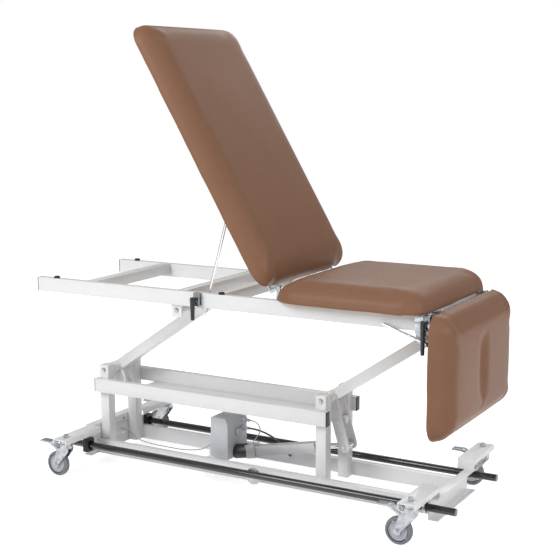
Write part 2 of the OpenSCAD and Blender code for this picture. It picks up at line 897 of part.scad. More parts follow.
// Bracket that carries a release grip: a short channel with a foot on the side rail
module release_bracket(x) {
  wall = 3;
  depth = 18;
  w = 22;
  h = 44;
  foot_x = min(x, rail_x1 - 30);
  face_y = -top_w / 2;
  difference() {
    translate([x, face_y - depth, grip_pz - h / 2])
      cube([w, depth, h]);
    translate([x - 1, face_y - depth + 2 * wall, grip_pz - h / 2 + wall])
      cube([w + 2, depth - 3 * wall, h - 2 * wall]);
  }
  translate([foot_x, face_y - wall, grip_pz - 2])
    cube([x + w - foot_x, wall, 20]);
  ybar(x + grip_pin_in, grip_pz, grip_y + 8, face_y - depth + 2 * wall, pin_d);
}

module lock_brackets() {
  hub_d = 26;
  color(ZINC) {
    // back clutch plate on the inner face of the front rail
    hull() {
      ybar(back_clutch_x, back_clutch_z, -top_w / 2 + rail_w, -top_w / 2 + rail_w + clutch_t, hub_d);
      translate([back_clutch_x - 13, -top_w / 2 + rail_w, top_z - rail_h + 8])
        cube([26, clutch_t, 20]);
    }
    // drop clutch plate on the outer face of the front rail
    hull() {
      ybar(drop_clutch_x, drop_clutch_z, -top_w / 2 - clutch_t, -top_w / 2, hub_d);
      translate([drop_clutch_x - 20, -top_w / 2 - clutch_t, top_z - rail_h + 5])
        cube([28, clutch_t, 20]);
    }
    for (x = [back_grip_x, drop_grip_x])
      release_bracket(x);
  }
}

// ---- Back section ----
module back_board() {
  color(WOOD)
    back_frame()
      board(back_x1 - back_len - back_px, back_x1 - back_px, top_z + bumper_h - back_pz);
}

module back_pad() {
  color(BROWN)
    back_frame()
      cushion(back_x1 - back_len - back_px, back_x1 - back_px,
        top_z + bumper_h + board_t + soft_gap - back_pz, back_foam_t - soft_gap);
}

module back_straps() {
  under = top_z + bumper_h - back_pz;     // underside of the back board
  strap_y = back_ear_y - ear_t - run;
  strap_h = bumper_h - 1;
  reach = 130;
  lug_t = 3;
  lug_y = back_rod_y - lock_d / 2 - run;
  color(ZINC)
    back_frame() {
      for (s = [-1, 1])
        difference() {
          side_plate(s, strap_y) {
            circle(r = eye_r);
            translate([-eye_r, under - strap_h])
              square([2 * eye_r, -under + strap_h]);
            translate([-reach, under - strap_h])
              square([reach, strap_h]);
          }
          ybar(0, 0, -top_w / 2, top_w / 2, pin_d + 2 * run);
        }
      // lug and pin of the locking rod
      translate([-back_lug_u - 14, lug_y - lug_t, -back_lug_n - 8])
        cube([28, lug_t, back_lug_n + 8 + under]);
      ybar(-back_lug_u, -back_lug_n, lug_y - lug_t, lug_y + lock_d + 1, rod_pin_d);
    }
}

// Locking rod with a flat eye at its lug
module lock_rod(length, eye_y) {
  difference() {
    union() {
      translate([0, eye_y, 0])
        rotate([0, -90, 0])
          cylinder(d = lock_d, h = length);
      ybar(0, 0, eye_y - lock_d / 2, eye_y + lock_d / 2, lock_d + 6);
    }
    ybar(0, 0, eye_y - lock_d, eye_y + lock_d, rod_pin_d + 2 * run);
  }
}

module back_rod() {
  lug_x = back_px - back_lug_u * cos(back_angle) - back_lug_n * sin(back_angle);
  lug_z = back_pz + back_lug_u * sin(back_angle) - back_lug_n * cos(back_angle);
  slope = atan2(lug_z - back_clutch_z, lug_x - back_clutch_x);
  color(CHROME)
    translate([lug_x, 0, lug_z])
      rotate([0, -slope, 0])
        lock_rod(back_rod_len, back_rod_y);
}

// Release grip: a tapered handle that turns on its bracket's pin
module grip(x, up) {
  pin_x = x + grip_pin_in;
  color(BLACK)
    difference() {
      union() {
        translate([pin_x - 4, grip_y, grip_pz + up - grip_len])
          hull() {
            translate([0, 0, 3])
              scale([0.7, 1, 1])
                cylinder(d = 22, h = grip_len - 3);
            scale([0.7, 1, 1])
              cylinder(d = 17, h = 3);
          }
        ybar(pin_x, grip_pz, grip_y, grip_y + 12, 18);
      }
      ybar(pin_x, grip_pz, grip_y - 20, grip_y + 20, pin_d + 2 * run);
    }
}

module back_handle() {
  grip(back_grip_x, 24);
}

// ---- Drop section ----
module drop_board() {
  color(WOOD)
    drop_frame()
      board(drop_x0 - drop_px, drop_x0 + drop_len - drop_px, top_z - drop_pz);
}

module drop_pad() {
  z0 = top_z + board_t + soft_gap - drop_pz;
  mid = drop_x0 + drop_len / 2 - drop_px;
  color(BROWN)
    drop_frame()
      difference() {
        cushion(drop_x0 - drop_px, drop_x0 + drop_len - drop_px, z0, foam_t - soft_gap);
        translate([mid, 0, z0 + foam_t + 1])
          scale([recess_len / 2, recess_w / 2, recess_d + 1])
            sphere(r = 1, $fn = 40);
      }
}

module drop_straps() {
  under = top_z - drop_pz;
  strap_y = drop_ear_y + ear_t + run;
  reach = 110;
  lug_t = 4;
  lug_y = drop_rod_y + lock_d / 2 + run;
  color(ZINC)
    drop_frame() {
      for (s = [-1, 1])
        difference() {
          side_plate(s, strap_y) {
            circle(r = eye_r);
            polygon([[-4, -eye_r + 1], [4, -eye_r - 3], [reach, -eye_r - 3], [reach, under], [0, under]]);
          }
          ybar(0, 0, -top_w / 2, top_w / 2, pin_d + 2 * run);
        }
      translate([drop_lug_u - 10, lug_y, -drop_lug_n - 7])
        cube([20, lug_t, drop_lug_n + 7 + under]);
      ybar(drop_lug_u, -drop_lug_n, lug_y - lock_d - 1, lug_y + lug_t, rod_pin_d);
    }
}

module drop_rod() {
  lug_x = drop_px - drop_lug_n;
  lug_z = drop_pz - drop_lug_u;
  slope = atan2(lug_z - drop_clutch_z, lug_x - drop_clutch_x);
  color(CHROME)
    translate([lug_x, 0, lug_z])
      rotate([0, -slope, 0])
        lock_rod(drop_rod_len, drop_rod_y);
}

module drop_handle() {
  grip(drop_grip_x, -4);
}

// ---- Foot bars ----
module foot_bar(s) {
  color(BLACK)
    translate([bar_x0, s * bar_y, bar_z])
      rotate([0, 90, 0])
        difference() {
          cylinder(d = bar_d, h = bar_len);
          translate([0, 0, 12])
            cylinder(d = bar_d - 4, h = bar_len - 24);
        }
}

module bar_front() {
  foot_bar(-1);
}

module bar_rear() {
  foot_bar(1);
}

// ---- Casters ----
module fork(cx, cy) {
  axle_z = wheel_d / 2;
  color(ZINC)
    translate([cx, cy, 0]) {
      difference() {
        union() {
          translate([0, 0, fork_ring_z])
            cylinder(d = head_d + 2, h = fork_top - fork_ring_z);
          for (s = [-1, 1])
            translate([0, s > 0 ? cheek_in + cheek_t : -cheek_in, 0])
              rotate([90, 0, 0])
                linear_extrude(cheek_t) {
                  polygon([[20, fork_ring_z + 4], [-32, fork_ring_z + 4], [-34, fork_ring_z - 16],
                    [-trail - 12, axle_z], [-trail + 12, axle_z], [18, fork_ring_z - 12]]);
                  translate([-trail, axle_z])
                    circle(r = 12);
                }
        }
        // room for the brake pedal's root
        translate([-60, -cheek_in - cheek_t - 1, fork_ring_z - 2])
          cube([46, 2 * (cheek_in + cheek_t + 1), 8]);
      }
      ybar(-trail, axle_z, -cheek_in - cheek_t, cheek_in + cheek_t, axle_d);
      for (s = [-1, 1])
        ybolt(-trail, axle_z, s * (cheek_in + cheek_t), s, 11);
      ybar(-pedal_px, pedal_pz - 4, -cheek_in - cheek_t, cheek_in + cheek_t, 5);
    }
}

module wheel(cx, cy) {
  r = wheel_d / 2;
  w = wheel_w / 2;
  color(TYRE)
    translate([cx - trail, cy, r])
      rotate([90, 0, 0])
        difference() {
          rotate_extrude($fn = 64)
            polygon([[0, -w], [12, -w], [14, 2 - w], [r - 14, 2 - w], [r - 11, -w + 1], [r - 4, -w + 3],
              [r, -w / 3], [r, w / 3], [r - 4, w - 3], [r - 11, w - 1], [r - 14, w - 2], [14, w - 2],
              [12, w], [0, w]]);
          cylinder(d = axle_d + 2 * run, h = 4 * w, center = true);
        }
}

module pedal(cx, cy) {
  root = 2 * cheek_in - 2 * run;
  pad = 30;
  pin_z = pedal_pz - 4;
  color(ZINC)
    translate([cx, cy, 0])
      difference() {
        union() {
          ybar(-pedal_px, pin_z, -root / 2, root / 2, 10);
          translate([0, root / 2, 0])
            rotate([90, 0, 0])
              linear_extrude(root)
                polygon([[-pedal_px, pin_z + 5], [-pedal_px - 3, pin_z - 4], [-60, 112], [-72, 121],
                  [-72, 126], [-62, 124]]);
          translate([0, pad / 2, 0])
            rotate([90, 0, 0])
              linear_extrude(pad)
                polygon([[-66, 117], [-72, 119], [-109, 120], [-109, 125], [-70, 126], [-62, 124]]);
        }
        ybar(-pedal_px, pin_z, -20, 20, 5 + 2 * run);
      }
}

module fork_fl() { fork(caster_x0, -caster_y); }
module fork_rl() { fork(caster_x0, caster_y); }
module fork_fr() { fork(caster_x1, -caster_y); }
module fork_rr() { fork(caster_x1, caster_y); }
module wheel_fl() { wheel(caster_x0, -caster_y); }
module wheel_rl() { wheel(caster_x0, caster_y); }
module wheel_fr() { wheel(caster_x1, -caster_y); }
module wheel_rr() { wheel(caster_x1, caster_y); }
module pedal_fl() { pedal(caster_x0, -caster_y); }
module pedal_rl() { pedal(caster_x0, caster_y); }
module pedal_fr() { pedal(caster_x1, -caster_y); }
module pedal_rr() { pedal(caster_x1, caster_y); }

base_rails();
end_channels();
caster_arms();
posts();
mid_rails();
mid_shelf();
rail_caps();
base_hardware();
actuator_mount();
bar_brackets();
bar_switch();
control_box();
box_plugs();
motor_housing();
actuator_tube();
lead_motor();
lead_switch();
lead_limit();
actuator_rod();
arm_right();
shafts_right();
levers_right();
arm_left();
shafts_left();
levers_left();
tie_bar();
side_rails();
cross_tubes();
upper_caps();
pivot_brackets();
upper_bolts();
bumpers();
seat_board();
seat_pad();
hinge_ears();
lock_brackets();
back_board();
back_pad();
back_straps();
back_rod();
back_handle();
drop_board();
drop_pad();
drop_straps();
drop_rod();
drop_handle();
bar_front();
bar_rear();
fork_fl();
fork_rl();
fork_fr();
fork_rr();
wheel_fl();
wheel_rl();
wheel_fr();
wheel_rr();
pedal_fl();
pedal_rl();
pedal_fr();
pedal_rr();
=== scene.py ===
"""Three-section exam table on a parallelogram lift: finishes, cushions and detailed fittings."""

import json
import logging
import math
from collections.abc import Callable
from dataclasses import dataclass, field
from enum import Enum

import bmesh
import bpy
import numpy as np
from bpy.types import Material, Node, NodeSocket, NodeTree, Object
from mathutils import Matrix, Vector

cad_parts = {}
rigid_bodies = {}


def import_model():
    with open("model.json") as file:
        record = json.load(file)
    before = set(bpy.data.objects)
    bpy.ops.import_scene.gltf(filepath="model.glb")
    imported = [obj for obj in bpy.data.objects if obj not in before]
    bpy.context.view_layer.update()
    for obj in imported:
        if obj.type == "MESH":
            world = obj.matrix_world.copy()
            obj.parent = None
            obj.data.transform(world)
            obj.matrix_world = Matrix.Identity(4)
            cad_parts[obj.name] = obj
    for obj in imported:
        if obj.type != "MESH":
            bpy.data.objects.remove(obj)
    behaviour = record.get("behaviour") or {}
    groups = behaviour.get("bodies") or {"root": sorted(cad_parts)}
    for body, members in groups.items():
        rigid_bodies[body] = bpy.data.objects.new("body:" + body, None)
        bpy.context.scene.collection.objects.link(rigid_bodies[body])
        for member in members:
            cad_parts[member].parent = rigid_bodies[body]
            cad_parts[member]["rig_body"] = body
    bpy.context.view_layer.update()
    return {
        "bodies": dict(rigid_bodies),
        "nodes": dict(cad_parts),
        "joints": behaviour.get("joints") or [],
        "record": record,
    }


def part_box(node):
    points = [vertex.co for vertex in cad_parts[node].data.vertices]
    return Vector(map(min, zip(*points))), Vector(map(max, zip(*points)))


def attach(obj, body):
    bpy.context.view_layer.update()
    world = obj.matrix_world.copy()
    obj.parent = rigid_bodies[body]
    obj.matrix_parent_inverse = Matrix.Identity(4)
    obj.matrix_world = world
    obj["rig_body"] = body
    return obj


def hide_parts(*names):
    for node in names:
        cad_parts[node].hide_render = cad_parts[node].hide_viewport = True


LOG = logging.getLogger("exam_table")
MM = 0.001
Colour = tuple[float, float, float]
Place = tuple[float, float, float]


# ---------------------------------------------------------------- finishes


class Grain(Enum):
    """Relief of a surface, each built by one node group."""

    PEEL = "orange_peel"
    HIDE = "hide_grain"
    BRUSHED = "drawn_lines"
    VENEER = "veneer_lines"


class NodeSheet:
    """Adds nodes to one tree and wires them."""

    def __init__(self, tree: NodeTree) -> None:
        """Takes the tree to fill.

        Args:
            tree: The tree.
        """
        self.tree = tree

    def add(self, kind: str, **settings: object) -> Node:
        """Adds one node.

        Args:
            kind: Node type name.
            settings: Attributes to set on it.

        Returns:
            The new node.
        """
        node = self.tree.nodes.new(kind)
        for key, value in settings.items():
            setattr(node, key, value)
        return node

    def wire(self, source: NodeSocket, target: NodeSocket) -> None:
        """Links two sockets.

        Args:
            source: Output to read.
            target: Input to feed.
        """
        self.tree.links.new(source, target)

    def noise(self, coords: NodeSocket, scale: float | NodeSocket, detail: float) -> NodeSocket:
        """Adds a noise texture.

        Args:
            coords: Where the pattern is read.
            scale: Cells per metre, as a number or a socket.
            detail: Octaves.

        Returns:
            Its value from 0 to 1.
        """
        node = self.add("ShaderNodeTexNoise")
        node.inputs["Detail"].default_value = detail
        self.wire(coords, node.inputs["Vector"])
        if isinstance(scale, float):
            node.inputs["Scale"].default_value = scale
        else:
            self.wire(scale, node.inputs["Scale"])
        return node.outputs["Fac"]

    def math(self, operation: str, first: NodeSocket, second: float | NodeSocket) -> NodeSocket:
        """Adds a math node.

        Args:
            operation: Blender's name of the operation.
            first: First value.
            second: Second value, a number or a socket.

        Returns:
            The result.
        """
        node = self.add("ShaderNodeMath", operation=operation)
        self.wire(first, node.inputs[0])
        if isinstance(second, float):
            node.inputs[1].default_value = second
        else:
            self.wire(second, node.inputs[1])
        return node.outputs[0]


class EffectGroups:
    """Node groups shared by the finishes, each built once."""

    def __init__(self) -> None:
        """Builds every group."""
        self.drift = self._drift()
        self.relief = {
            Grain.PEEL: self._peel(),
            Grain.HIDE: self._hide(),
            Grain.BRUSHED: self._brushed(),
            Grain.VENEER: self._veneer(),
        }

    @staticmethod
    def _group(name: str, outputs: dict[str, str], inputs: dict[str, str]) -> tuple[NodeSheet, Node, Node]:
        """Starts a group with named sockets.

        Args:
            name: Name of the group.
            outputs: Output names and socket types.
            inputs: Input names and socket types.

        Returns:
            The sheet to build on, the input node and the output node.
        """
        tree = bpy.data.node_groups.new(name, "ShaderNodeTree")
        for label, kind in inputs.items():
            tree.interface.new_socket(label, in_out="INPUT", socket_type=kind)
        for label, kind in outputs.items():
            tree.interface.new_socket(label, in_out="OUTPUT", socket_type=kind)
        sheet = NodeSheet(tree)
        return sheet, sheet.add("NodeGroupInput"), sheet.add("NodeGroupOutput")

    def _drift(self) -> NodeTree:
        """Slow change of tone and sheen over a surface, with a finer mottle on it.

        Returns:
            A group that puts out a colour and a roughness.
        """
        sheet, given, made = self._group(
            "tone_drift",
            {"Color": "NodeSocketColor", "Roughness": "NodeSocketFloat"},
            {
                "Vector": "NodeSocketVector",
                "Light": "NodeSocketColor",
                "Dark": "NodeSocketColor",
                "Scale": "NodeSocketFloat",
                "Low": "NodeSocketFloat",
                "High": "NodeSocketFloat",
            },
        )
        slow = sheet.noise(given.outputs["Vector"], given.outputs["Scale"], 3.0)
        fine_scale = sheet.math("MULTIPLY", given.outputs["Scale"], 14.0)
        fine = sheet.noise(given.outputs["Vector"], fine_scale, 2.0)
        both = sheet.math("ADD", sheet.math("MULTIPLY", slow, 0.7), sheet.math("MULTIPLY", fine, 0.3))
        mask = sheet.add("ShaderNodeMapRange")
        mask.inputs["From Min"].default_value = 0.35
        mask.inputs["From Max"].default_value = 0.65
        sheet.wire(both, mask.inputs["Value"])
        mix = sheet.add("ShaderNodeMix", data_type="RGBA")
        sheet.wire(mask.outputs[0], mix.inputs["Factor"])
        sheet.wire(given.outputs["Light"], mix.inputs["A"])
        sheet.wire(given.outputs["Dark"], mix.inputs["B"])
        sheet.wire(mix.outputs["Result"], made.inputs["Color"])
        rough = sheet.add("ShaderNodeMapRange")
        sheet.wire(mask.outputs[0], rough.inputs["Value"])
        sheet.wire(given.outputs["Low"], rough.inputs["To Min"])
        sheet.wire(given.outputs["High"], rough.inputs["To Max"])
        sheet.wire(rough.outputs[0], made.inputs["Roughness"])
        return sheet.tree

    def _relief_group(self, name: str) -> tuple[NodeSheet, Node, Node]:
        """Starts a relief group with Vector and Scale in and Height out.

        Args:
            name: Name of the group.

        Returns:
            Its sheet, its input node and its output node.
        """
        return self._group(
            name,
            {"Height": "NodeSocketFloat"},
            {"Vector": "NodeSocketVector", "Scale": "NodeSocketFloat"},
        )

    def _peel(self) -> NodeTree:
        """Soft dimples of powder coat or moulded plastic.

        Returns:
            The group.
        """
        sheet, given, made = self._relief_group("orange_peel")
        sheet.wire(sheet.noise(given.outputs["Vector"], given.outputs["Scale"], 2.0), made.inputs["Height"])
        return sheet.tree

    def _hide(self) -> NodeTree:
        """Small rounded cells with creases between them, as on grained vinyl.

        Returns:
            The group.
        """
        sheet, given, made = self._relief_group("hide_grain")
        cells = sheet.add("ShaderNodeTexVoronoi", feature="SMOOTH_F1")
        sheet.wire(given.outputs["Vector"], cells.inputs["Vector"])
        sheet.wire(given.outputs["Scale"], cells.inputs["Scale"])
        crease = sheet.math("POWER", cells.outputs["Distance"], 2.0)
        soft = sheet.noise(given.outputs["Vector"], sheet.math("MULTIPLY", given.outputs["Scale"], 0.12), 3.0)
        sheet.wire(
            sheet.math("SUBTRACT", sheet.math("MULTIPLY", soft, 0.8), crease), made.inputs["Height"]
        )
        return sheet.tree

    def _brushed(self) -> NodeTree:
        """Fine lines along X, as drawn or rolled metal has.

        Returns:
            The group.
        """
        sheet, given, made = self._relief_group("drawn_lines")
        stretch = sheet.add("ShaderNodeVectorMath", operation="MULTIPLY")
        stretch.inputs[1].default_value = (0.02, 1.0, 1.0)
        sheet.wire(given.outputs["Vector"], stretch.inputs[0])
        sheet.wire(sheet.noise(stretch.outputs[0], given.outputs["Scale"], 2.0), made.inputs["Height"])
        return sheet.tree

    def _veneer(self) -> NodeTree:
        """Wavering bands along X, as birch veneer has.

        Returns:
            The group.
        """
        sheet, given, made = self._relief_group("veneer_lines")
        stretch = sheet.add("ShaderNodeVectorMath", operation="MULTIPLY")
        stretch.inputs[1].default_value = (0.12, 1.0, 0.12)
        sheet.wire(given.outputs["Vector"], stretch.inputs[0])
        wave = sheet.add("ShaderNodeTexWave", bands_direction="Y")
        wave.inputs["Distortion"].default_value = 5.0
        wave.inputs["Detail"].default_value = 3.0
        sheet.wire(stretch.outputs[0], wave.inputs["Vector"])
        sheet.wire(given.outputs["Scale"], wave.inputs["Scale"])
        sheet.wire(wave.outputs["Fac"], made.inputs["Height"])
        return sheet.tree


@dataclass(frozen=True)
class Finish:
    """One finish: two near tones, its sheen and its relief."""

    name: str
    light: Colour
    dark: Colour
    sheen: tuple[float, float]
    grain: Grain
    grain_scale: float
    depth: float
    metallic: float = 0.0
    coat: float = 0.0
    drift_scale: float = 5.0
    specular: float = 0.5

    def build(self, groups: EffectGroups) -> Material:
        """Makes the material.

        Args:
            groups: The shared node groups.

        Returns:
            The new material.
        """
        material = bpy.data.materials.new(self.name)
        material.use_nodes = True
        sheet = NodeSheet(material.node_tree)
        shader = material.node_tree.nodes["Principled BSDF"]
        shader.inputs["Metallic"].default_value = self.metallic
        shader.inputs["Coat Weight"].default_value = self.coat
        shader.inputs["Specular IOR Level"].default_value = self.specular
        coords = sheet.add("ShaderNodeTexCoord").outputs["Object"]
        drift = sheet.add("ShaderNodeGroup", node_tree=groups.drift)
        drift.inputs["Light"].default_value = (*self.light, 1)
        drift.inputs["Dark"].default_value = (*self.dark, 1)
        drift.inputs["Scale"].default_value = self.drift_scale
        drift.inputs["Low"].default_value, drift.inputs["High"].default_value = self.sheen
        sheet.wire(coords, drift.inputs["Vector"])
        sheet.wire(drift.outputs["Color"], shader.inputs["Base Color"])
        sheet.wire(drift.outputs["Roughness"], shader.inputs["Roughness"])
        relief = sheet.add("ShaderNodeGroup", node_tree=groups.relief[self.grain])
        relief.inputs["Scale"].default_value = self.grain_scale
        sheet.wire(coords, relief.inputs["Vector"])
        bump = sheet.add("ShaderNodeBump")
        bump.inputs["Distance"].default_value = self.depth
        bump.inputs["Strength"].default_value = 1.0
        sheet.wire(relief.outputs["Height"], bump.inputs["Height"])
        sheet.wire(bump.outputs["Normal"], shader.inputs["Normal"])
        return material


FINISHES = {
    "white_enamel": Finish(
        "white_powder_coat", (0.80, 0.80, 0.81), (0.76, 0.765, 0.775), (0.30, 0.38),
        Grain.PEEL, grain_scale=420, depth=0.00012, coat=0.25,
    ),
    "zinc_plate": Finish(
        "bright_zinc", (0.50, 0.52, 0.54), (0.33, 0.35, 0.38), (0.20, 0.34),
        Grain.PEEL, grain_scale=900, depth=0.00004, metallic=1.0, drift_scale=60,
    ),
    "chrome_rod": Finish(
        "polished_chrome", (0.72, 0.73, 0.75), (0.66, 0.67, 0.69), (0.08, 0.16),
        Grain.PEEL, grain_scale=700, depth=0.00002, metallic=1.0, drift_scale=30,
    ),
    "black_plastic": Finish(
        "black_moulding", (0.022, 0.022, 0.024), (0.032, 0.032, 0.034), (0.36, 0.48),
        Grain.PEEL, grain_scale=1600, depth=0.00006, drift_scale=30,
    ),
    "grey_housing": Finish(
        "grey_moulding", (0.60, 0.62, 0.65), (0.55, 0.57, 0.60), (0.38, 0.48),
        Grain.PEEL, grain_scale=1700, depth=0.00007, drift_scale=20,
    ),
    "aluminium_tube": Finish(
        "anodised_aluminium", (0.66, 0.67, 0.69), (0.60, 0.61, 0.63), (0.30, 0.40),
        Grain.BRUSHED, grain_scale=1500, depth=0.00004, metallic=1.0,
    ),
    "lead_sheath": Finish(
        "grey_sheath", (0.42, 0.43, 0.45), (0.36, 0.37, 0.39), (0.40, 0.50),
        Grain.PEEL, grain_scale=1200, depth=0.00004, drift_scale=40,
    ),
    "dark_sheath": Finish(
        "dark_sheath", (0.10, 0.10, 0.11), (0.075, 0.075, 0.08), (0.40, 0.50),
        Grain.PEEL, grain_scale=1200, depth=0.00004, drift_scale=40,
    ),
    "black_rubber": Finish(
        "black_rubber", (0.02, 0.02, 0.02), (0.03, 0.03, 0.03), (0.62, 0.75),
        Grain.PEEL, grain_scale=1300, depth=0.00008, drift_scale=40,
    ),
    "plywood": Finish(
        "birch_plywood", (0.56, 0.41, 0.26), (0.46, 0.32, 0.19), (0.50, 0.62),
        Grain.VENEER, grain_scale=26, depth=0.00015, drift_scale=9,
    ),
    "upholstery": Finish(
        "brown_vinyl", (0.246, 0.126, 0.077), (0.224, 0.114, 0.069), (0.34, 0.41),
        Grain.HIDE, grain_scale=620, depth=0.0002, drift_scale=3, specular=0.11,
    ),
    "black_enamel": Finish(
        "black_gloss_coat", (0.016, 0.016, 0.018), (0.022, 0.022, 0.024), (0.16, 0.26),
        Grain.PEEL, grain_scale=500, depth=0.00008, coat=0.4,
    ),
    "grey_tyre": Finish(
        "grey_tread", (0.20, 0.215, 0.24), (0.16, 0.175, 0.20), (0.50, 0.62),
        Grain.PEEL, grain_scale=1200, depth=0.0001, drift_scale=40,
    ),
    "hub": Finish(
        "pale_hub", (0.46, 0.48, 0.51), (0.41, 0.43, 0.46), (0.34, 0.44),
        Grain.PEEL, grain_scale=1200, depth=0.00005, drift_scale=40,
    ),
}


class FinishShelf:
    """Builds each finish once and puts it on pieces."""

    def __init__(self) -> None:
        """Builds every material."""
        groups = EffectGroups()
        self.materials = {slot: finish.build(groups) for slot, finish in FINISHES.items()}

    def coat(self, piece: Object, name: str) -> None:
        """Puts one finish on the whole of a piece.

        Args:
            piece: The mesh to finish.
            name: Key in FINISHES.
        """
        piece.data.materials.clear()
        piece.data.materials.append(self.materials[name])


# ---------------------------------------------------------------- bench tools


def only(piece: Object) -> None:
    """Selects one object and makes it active, in object mode.

    Args:
        piece: The object.
    """
    if bpy.context.mode != "OBJECT":
        bpy.ops.object.mode_set(mode="OBJECT")
    bpy.ops.object.select_all(action="DESELECT")
    piece.select_set(True)
    bpy.context.view_layer.objects.active = piece


class Shaping:
    """Edit mode on one piece, with faces and edges picked by their place."""

    def __init__(self, piece: Object) -> None:
        """Takes the piece to shape.

        Args:
            piece: The piece.
        """
        self.piece = piece

    def __enter__(self) -> "Shaping":
        """Opens edit mode.

        Returns:
            The same tool, to select with.
        """
        only(self.piece)
        bpy.ops.object.mode_set(mode="EDIT")
        return self

    def __exit__(self, *problem: object) -> None:
        """Closes edit mode.

        Args:
            problem: What went wrong inside, which is passed on.
        """
        bpy.ops.object.mode_set(mode="OBJECT")

    def faces(self, test: Callable[[Vector, Vector], bool]) -> None:
        """Selects only the faces whose centre and normal pass a test.

        Args:
            test: Says yes or no to a centre and a normal.
        """
        bpy.ops.mesh.select_mode(type="FACE")
        bpy.ops.mesh.select_all(action="DESELECT")
        mesh = bmesh.from_edit_mesh(self.piece.data)
        for face in mesh.faces:
            if test(face.calc_center_median(), face.normal):
                face.select_set(True)
        bmesh.update_edit_mesh(self.piece.data)

    def edges(self, test: Callable[[Vector, Vector], bool]) -> None:
        """Selects only the edges whose middle and direction pass a test.

        Args:
            test: Says yes or no to a middle and a direction.
        """
        bpy.ops.mesh.select_mode(type="EDGE")
        bpy.ops.mesh.select_all(action="DESELECT")
        mesh = bmesh.from_edit_mesh(self.piece.data)
        for edge in mesh.edges:
            a, b = (v.co for v in edge.verts)
            if test((a + b) / 2, (b - a).normalized()):
                edge.select_set(True)
        bmesh.update_edit_mesh(self.piece.data)


def settle(piece: Object, name: str) -> Object:
    """Names a piece and moves its place into its mesh.

    Args:
        piece: A new primitive.
        name: Its name.

    Returns:
        The same piece.
    """
    only(piece)
    bpy.ops.object.transform_apply(location=True, rotation=True, scale=True)
    piece.name = name
    piece.data.name = name
    return piece


def block(name: str, low: Vector, high: Vector) -> Object:
    """Adds a box between two corners as the start of a piece.

    Args:
        name: Its name.
        low: Lowest corner.
        high: Highest corner.

    Returns:
        The new piece.
    """
    bpy.ops.object.select_all(action="DESELECT")
    bpy.ops.mesh.primitive_cube_add(size=1, location=(low + high) / 2)
    piece = bpy.context.active_object
    piece.scale = high - low
    return settle(piece, name)


def rod(name: str, start: Vector, end: Vector, radius: float, sides: int = 48) -> Object:
    """Adds a cylinder between two points as the start of a piece.

    Args:
        name: Its name.
        start: Centre of one end.
        end: Centre of the other end.
        radius: Radius.
        sides: Faces around it.

    Returns:
        The new piece.
    """
    bpy.ops.object.select_all(action="DESELECT")
    axis = end - start
    bpy.ops.mesh.primitive_cylinder_add(
        vertices=sides,
        radius=radius,
        depth=axis.length,
        location=(start + end) / 2,
        rotation=axis.to_track_quat("Z", "Y").to_euler(),
    )
    return settle(bpy.context.active_object, name)


def step_caps(piece: Object, axis: Vector, steps: list[tuple[float, float]]) -> None:
    """Shapes both ends of a cylinder with rings, each an inset and a push along the axis.

    Args:
        piece: A cylinder along the axis.
        axis: Unit direction of its axis.
        steps: Pairs of inset and outward push, from the rim to the middle.
    """
    for side in (1, -1):
        facing = axis * side
        with Shaping(piece) as work:
            work.faces(lambda centre, normal: normal.dot(facing) > 0.99)
            for inset, push in steps:
                bpy.ops.mesh.inset(thickness=inset)
                bpy.ops.transform.translate(value=facing * push)


def soften(piece: Object, width: float, segments: int = 2, angle: float = 30) -> None:
    """Rounds the edges of a piece and smooths its shading.

    Args:
        piece: The mesh to finish.
        width: Width of the rounding.
        segments: Steps of the rounding.
        angle: Least angle of an edge that is rounded, in degrees.
    """
    only(piece)
    bevel = piece.modifiers.new("rounding", "BEVEL")
    bevel.width = width
    bevel.segments = segments
    bevel.limit_method = "ANGLE"
    bevel.angle_limit = math.radians(angle)
    bpy.ops.object.modifier_apply(modifier=bevel.name)
    bpy.ops.object.shade_smooth_by_angle(angle=math.radians(angle))


@dataclass
class Workshop:
    """What every sub-assembly needs: the frame and the finishes."""

    frame: dict
    shelf: FinishShelf
    made: list[str] = field(default_factory=list)

    def fit(self, piece: Object, body: str, slot: str, finish: str | None = None) -> Object:
        """Coats a finished piece and lets it ride on its body.

        Args:
            piece: The finished mesh.
            body: Body that it moves with.
            slot: Material slot of the record.
            finish: Key in FINISHES, if it isn't the slot's own.

        Returns:
            The same piece.
        """
        self.shelf.coat(piece, finish or slot)
        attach(piece, body)
        self.made.append(piece.name)
        LOG.info("made %s on %s", piece.name, body)
        return piece

    def body_of(self, node: str) -> str:
        """Name of the body that a CAD node rides on.

        Args:
            node: CAD node.

        Returns:
            The body's name.
        """
        return self.frame["nodes"][node]["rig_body"]

    def slot_of(self, node: str) -> str:
        """Material slot of a CAD node.

        Args:
            node: CAD node.

        Returns:
            The slot's name.
        """
        return next(s["material_slot"] for s in self.frame["record"]["subparts"] if s["node"] == node)

    def joint_place(self, name: str) -> Vector:
        """Place of a hinge at rest.

        Args:
            name: Name of the joint.

        Returns:
            A point on its axis.
        """
        return Vector(next(j["pos_m"] for j in self.frame["joints"] if j["name"] == name))

    def rounded_copy(self, node: str, width: float, segments: int = 2) -> Object:
        """Stands a round-edged copy of a CAD node in its place.

        Args:
            node: CAD node to stand for.
            width: Radius of its edges.
            segments: Steps of the rounding.

        Returns:
            The new piece.
        """
        source = self.frame["nodes"][node]
        piece = bpy.data.objects.new(f"{node}_finished", source.data.copy())
        bpy.context.scene.collection.objects.link(piece)
        with Shaping(piece):
            bpy.ops.mesh.select_all(action="SELECT")
            bpy.ops.mesh.remove_doubles(threshold=0.00001)
            bpy.ops.mesh.dissolve_limited(angle_limit=math.radians(1))
        soften(piece, width, segments)
        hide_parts(node)
        return self.fit(piece, self.body_of(node), self.slot_of(node))


# ---------------------------------------------------------------- cushions


